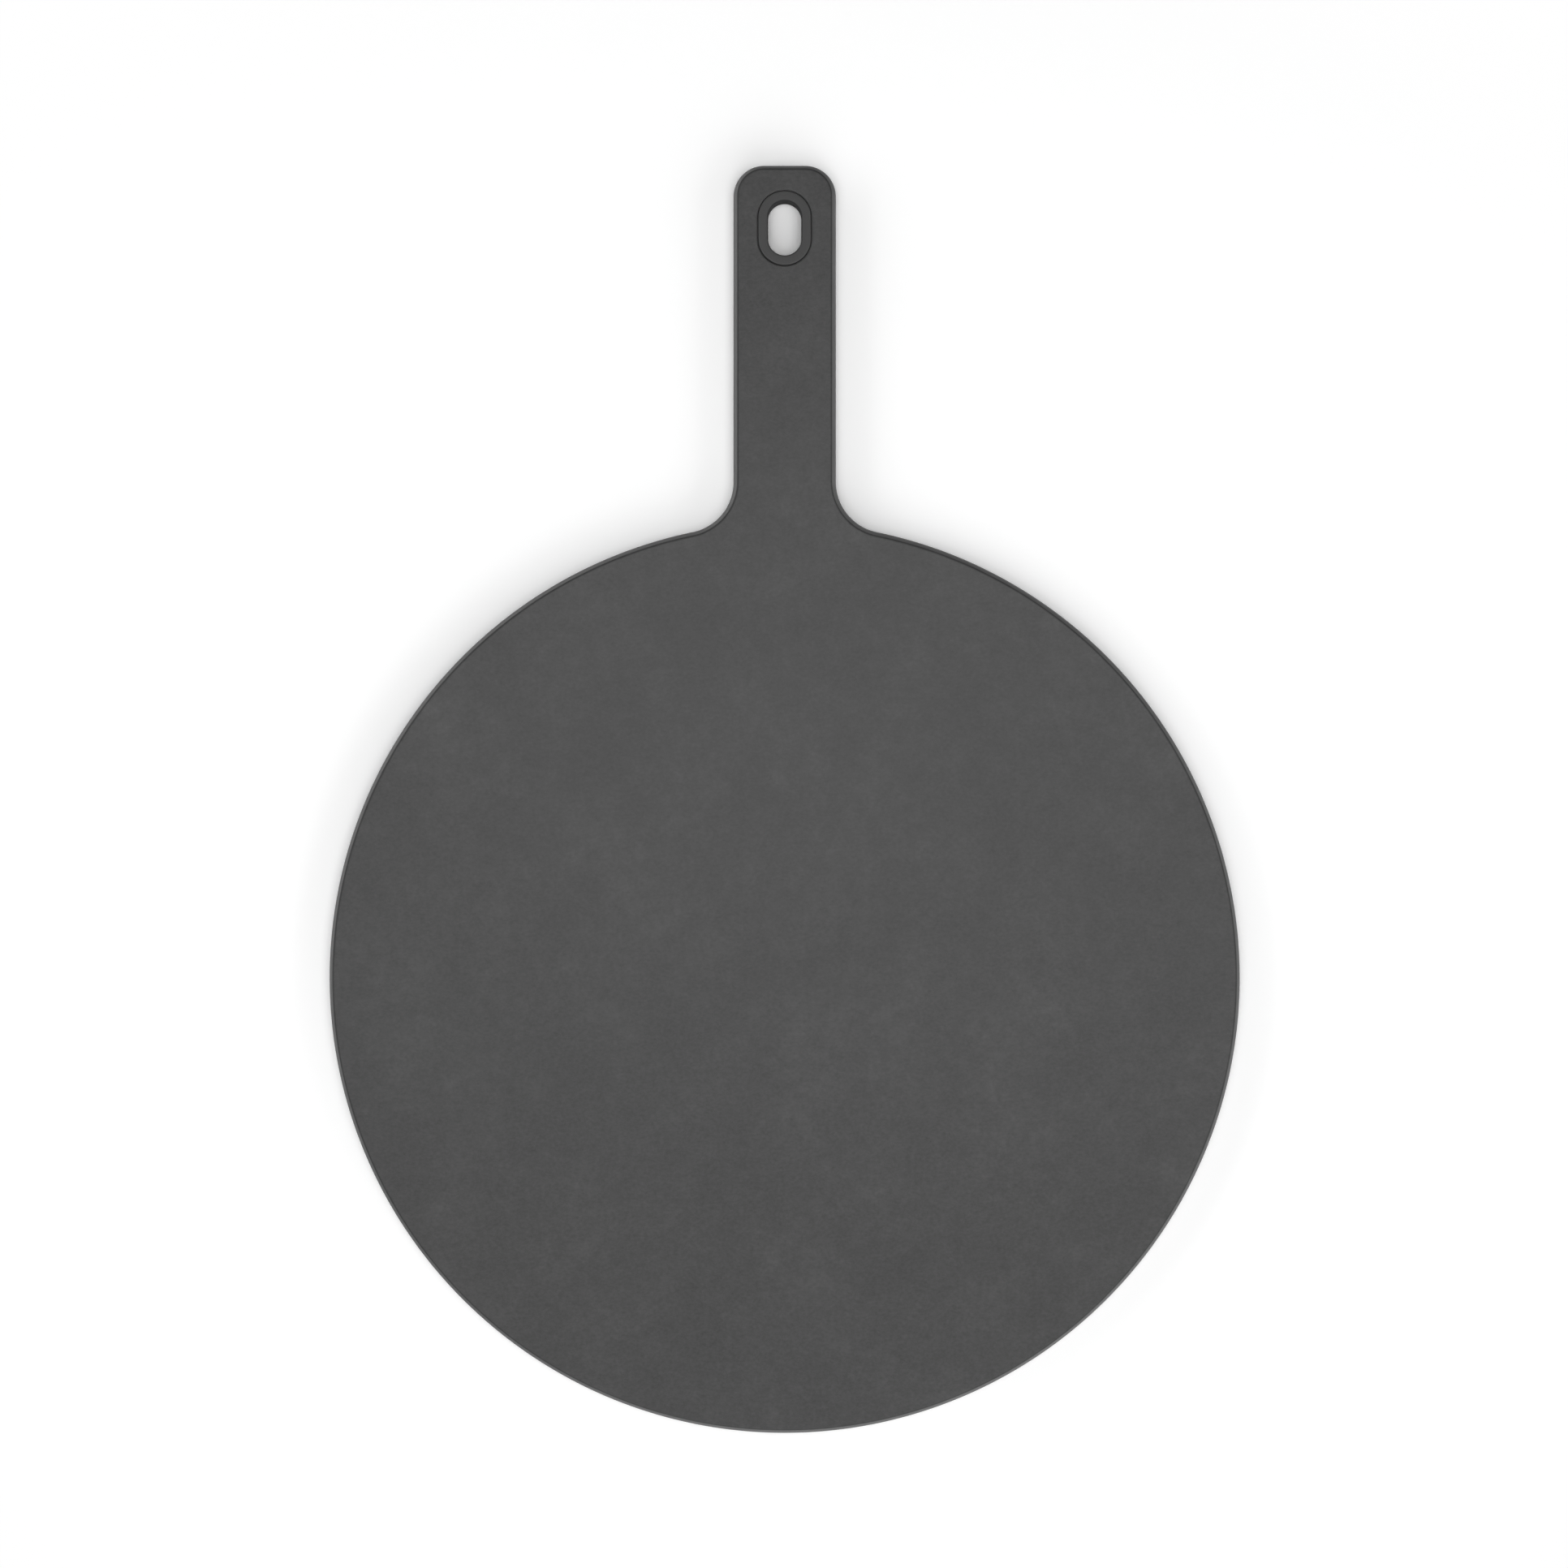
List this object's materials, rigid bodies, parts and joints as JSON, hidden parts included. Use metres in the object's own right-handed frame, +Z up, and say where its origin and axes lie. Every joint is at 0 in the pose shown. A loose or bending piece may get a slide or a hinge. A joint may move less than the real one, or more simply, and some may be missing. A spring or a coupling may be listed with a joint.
{
  "type": "serving board",
  "caption": "Round flat serving board with a straight paddle handle, softly rounded rims and a soft oval grommet lining the hanging slot.",
  "frame": {"origin": "centre of the round serving area, on the underside where the board rests", "axes": "+Y along the handle to its end, +Z up through the serving face, +X to the right with the handle pointing away"},
  "size_m": [0.3556, 0.4949, 0.0063],
  "materials": {
    "face_laminate": "satin",
    "core_laminate": "matte",
    "grommet_rubber": "matte"
  },
  "bodies": {
    "root": {"front_face_sheet": "face_laminate", "core": "core_laminate", "back_face_sheet": "face_laminate", "hanging_grommet": "grommet_rubber"}
  },
  "joints": []
}
